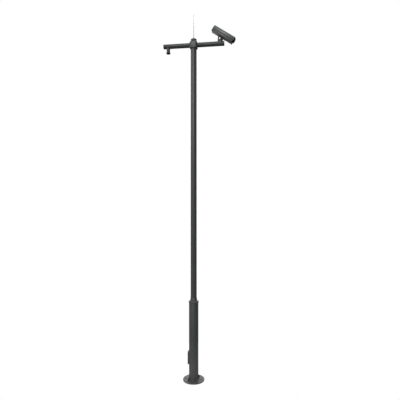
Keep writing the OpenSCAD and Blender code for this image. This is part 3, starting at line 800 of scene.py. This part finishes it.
def build_bracket():
    # Foot: a flange on the arm and a narrower body, round the sleeve that the cables pass through
    base, rim, top_z = ARM_Z + 0.010, ARM_Z + 0.047, high("bracket_foot", Z)
    foot_r, body_r, bore = high("bracket_foot", Y), 0.042, 0.0171
    sleeve_low, sleeve_high = low("bracket_foot", Z), ARM_Z + 0.042
    saddle_reach = 0.06
    outline = softened([
        (bore, base, 0), (foot_r, base, 0), (foot_r, rim, 0.0022), (body_r, rim, 0.0004),
        (body_r, top_z, 0.0010), (bore, top_z, 0),
    ], 5)
    shift = Matrix.Translation((PIVOT.x, 0, 0))
    foot = object_from(placed(lathe(outline, 128), shift), "bracket_foot_piece")
    cut(foot, cylinder_cutter(ARM_R, PIVOT.x - saddle_reach, PIVOT.x + saddle_reach, along_x(1), 144))
    piece(foot, "bracket_foot")
    sleeve = lathe(tube_profile(SLEEVE_R, bore, sleeve_low, sleeve_high), 96)
    piece(object_from(placed(sleeve, shift), "bracket_sleeve_piece"), "bracket_foot", replaces=False)
    softened_copy("bracket_screws", 0.0003, 2)
    softened_copy("swivel_yoke", 0.0014, 3)
    softened_copy("pan_lock_nut", 0.0008, 3)
    softened_copy("tilt_bolt", 0.0006, 3)
    softened_copy("tilt_nut", 0.0006, 3)
    softened_copy("tilt_cradle", 0.0011, 3)
    softened_copy("cradle_screws", 0.0005, 3)


def build_camera():
    softened_copy("housing_body", 0.0008, 2)
    softened_copy("front_bezel", 0.0016, 3)
    softened_copy("window_gasket", 0.0004, 2)
    softened_copy("window_glass", 0.0005, 2)
    softened_copy("rear_cover", 0.0016, 3)
    softened_copy("rear_cover_screws", 0.0006, 2)
    softened_copy("housing_glands", 0.0009, 2)
    softened_copy("camera_sled", 0.0004, 2)
    softened_copy("camera_module", 0.0016, 3)
    softened_copy("lens_barrel", 0.0008, 2)
    softened_copy("sunshield", 0.0008, 2)
    softened_copy("shield_spacers", 0.0005, 2)
    softened_copy("shield_screws", 0.0008, 3)

    # Lens: a domed front glass, and two ribbed grip rings on the barrel
    glass_r, dome_r, dome_back = 0.0205, 0.0367, 0.030
    dome = [(0, 0), (glass_r, 0)] + arc(0, -dome_back, dome_r, 55.5, 90, 14)[:-1]
    dome += [(0, dome_r - dome_back)]
    glass = object_from(placed(lathe(dome, 96), facing_forward(0.149)), "lens_front_glass")
    piece(glass, "lens_barrel", replaces=False, material=LENS_GLASS, angle=60)
    points_round = 240
    rib_r, groove_r, ring_w = 0.0218, 0.0210, 0.012
    outline = []
    for i in range(points_round):
        a = 2 * math.pi * i / points_round
        r = rib_r if (i // 2) % 2 else groove_r
        outline.append((r * math.cos(a), r * math.sin(a)))
    for k, start in enumerate((0.104, 0.124)):
        ring = object_from(placed(prism(outline, 0, ring_w), facing_forward(start)), f"lens_grip_{k}")
        piece(ring, "lens_barrel", replaces=False)

    # Four recessed cap screws that hold the bezel, each with a round drive recess
    across, up = 0.0605, 0.037
    head_r, sunk, face, drive = 0.0036, -0.004, -0.0002, -0.0016
    head = [(0, sunk), (head_r, sunk), (head_r, face - 0.0004), (head_r - 0.0004, face)]
    head += [(0.0019, face), (0.0018, drive), (0, drive)]
    for side, y in (("l", -across), ("r", across)):
        for level, z in (("d", BODY_MID - up), ("u", BODY_MID + up)):
            at = facing_forward(BODY_FRONT + BEZEL_T, y, z)
            screw = object_from(placed(lathe(head, 40), at), f"bezel_screw_{side}_{level}")
            piece(screw, "front_bezel", replaces=False, slot="stainless")


build_base()
build_column()
build_door()
build_equipment()
build_head()
build_arms()
build_nipple()
build_bracket()
build_camera()

# ---------------------------------------------------------------- floor, light and camera

# The camera stands level, at this height, this far from the pole and turned about it
EYE_HEIGHT = 3.224
EYE_DISTANCE = 6.907
EYE_AZIMUTH = math.radians(8.5)
EYE_SIDE_STEP = 0.113
LENS = 34.65

# A small round floor, lifted to white for the eye by its own glow
FLOOR_R = 1.8
FLOOR_T = 0.02
FLOOR_LIFT = 0.62

# How bright the room is for the object: everywhere, high on the back wall, and at the left
ROOM_LIGHT = 0.12
BACK_WALL = 1.6
LEFT_WALL = 0.05


def add_camera():
    data = bpy.data.cameras.new("camera")
    data.lens = LENS
    data.sensor_width = 36.0
    data.clip_end = 100.0
    eye = link(bpy.data.objects.new("camera", data))
    away = Vector((math.sin(EYE_AZIMUTH), -math.cos(EYE_AZIMUTH), 0))
    right = Vector((math.cos(EYE_AZIMUTH), math.sin(EYE_AZIMUTH), 0))
    eye.location = away * EYE_DISTANCE + right * EYE_SIDE_STEP + Vector((0, 0, EYE_HEIGHT))
    eye.rotation_euler = (math.radians(90), 0, EYE_AZIMUTH)
    bpy.context.scene.camera = eye


def add_floor():
    outline = [(0, 0), (FLOOR_R, 0), (FLOOR_R, -FLOOR_T), (0, -FLOOR_T)]
    disc = object_from(lathe(outline, 160), "floor")
    mat, nodes, links, shader, place = node_graph("pale_floor")
    cloud = noise(nodes, links, place, 1.2, 4.0)
    links.new(ramp(nodes, links, cloud, [(0.3, 0.52), (0.7, 0.56)]), shader.inputs["Base Color"])
    shader.inputs["Roughness"].default_value = 0.9
    shader.inputs["Specular IOR Level"].default_value = 0.1
    # Lifted to the wall's white for the eye alone, so that it adds no light to the object
    shader.inputs["Emission Color"].default_value = (1.0, 1.0, 1.0, 1.0)
    path = nodes.new("ShaderNodeLightPath")
    lift = nodes.new("ShaderNodeMath")
    lift.operation = "MULTIPLY"
    lift.inputs[1].default_value = FLOOR_LIFT
    links.new(path.outputs["Is Camera Ray"], lift.inputs[0])
    links.new(lift.outputs["Value"], shader.inputs["Emission Strength"])
    disc.data.materials.append(mat)


LAMP_DISTANCE = 12.0


def add_sun(name, towards, spread, power):
    """A far, soft lamp: its light comes from the given direction at every height of the pole."""
    data = bpy.data.lights.new(name, "SUN")
    data.angle = math.radians(spread)
    data.energy = power
    lamp = link(bpy.data.objects.new(name, data))
    lamp.location = Vector(towards).normalized() * LAMP_DISTANCE
    lamp.rotation_euler = Vector(towards).to_track_quat("Z", "Y").to_euler()


def add_world():
    """A white studio wall to the eye; for the object's light, a room lit high on its back and left."""
    world = bpy.data.worlds.new("studio")
    bpy.context.scene.world = world
    world.use_nodes = True
    nodes, links = world.node_tree.nodes, world.node_tree.links
    room = nodes["Background"]
    room.inputs["Color"].default_value = (1.0, 1.0, 1.0, 1.0)
    place = nodes.new("ShaderNodeTexCoord")
    split = nodes.new("ShaderNodeSeparateXYZ")
    links.new(place.outputs["Generated"], split.inputs["Vector"])

    def along(axis, near, far, most):
        """Rises from 0 to most as the direction turns along an axis."""
        rise = nodes.new("ShaderNodeMapRange")
        for socket, value in (("From Min", near), ("From Max", far), ("To Min", 0.0), ("To Max", most)):
            rise.inputs[socket].default_value = value
        links.new(split.outputs[axis], rise.inputs["Value"])
        return rise.outputs["Result"]

    def combined(operation, first, second):
        joined = nodes.new("ShaderNodeMath")
        joined.operation = operation
        for socket, value in zip(joined.inputs, (first, second)):
            if isinstance(value, float):
                socket.default_value = value
            else:
                links.new(value, socket)
        return joined.outputs["Value"]

    back = combined("MULTIPLY", along("Y", 0.35, 0.85, BACK_WALL), along("Z", -0.15, 0.25, 1.0))
    left = along("X", 0.1, -0.9, LEFT_WALL)
    strength = combined("ADD", combined("ADD", back, left), ROOM_LIGHT)
    links.new(strength, room.inputs["Strength"])
    wall = nodes.new("ShaderNodeBackground")
    wall.inputs["Color"].default_value = (1.0, 1.0, 1.0, 1.0)
    path = nodes.new("ShaderNodeLightPath")
    blend = nodes.new("ShaderNodeMixShader")
    links.new(path.outputs["Is Camera Ray"], blend.inputs[0])
    links.new(room.outputs[0], blend.inputs[1])
    links.new(wall.outputs[0], blend.inputs[2])
    links.new(blend.outputs[0], nodes["World Output"].inputs["Surface"])
    bpy.context.scene.view_settings.view_transform = "Standard"


add_camera()
add_floor()
add_world()
add_sun("key", (-0.90, -0.45, 0.55), 30.0, 0.75)
add_sun("front", (-0.10, -1.0, 0.45), 24.0, 1.35)
add_sun("top", (0.05, -0.15, 1.0), 50.0, 0.6)
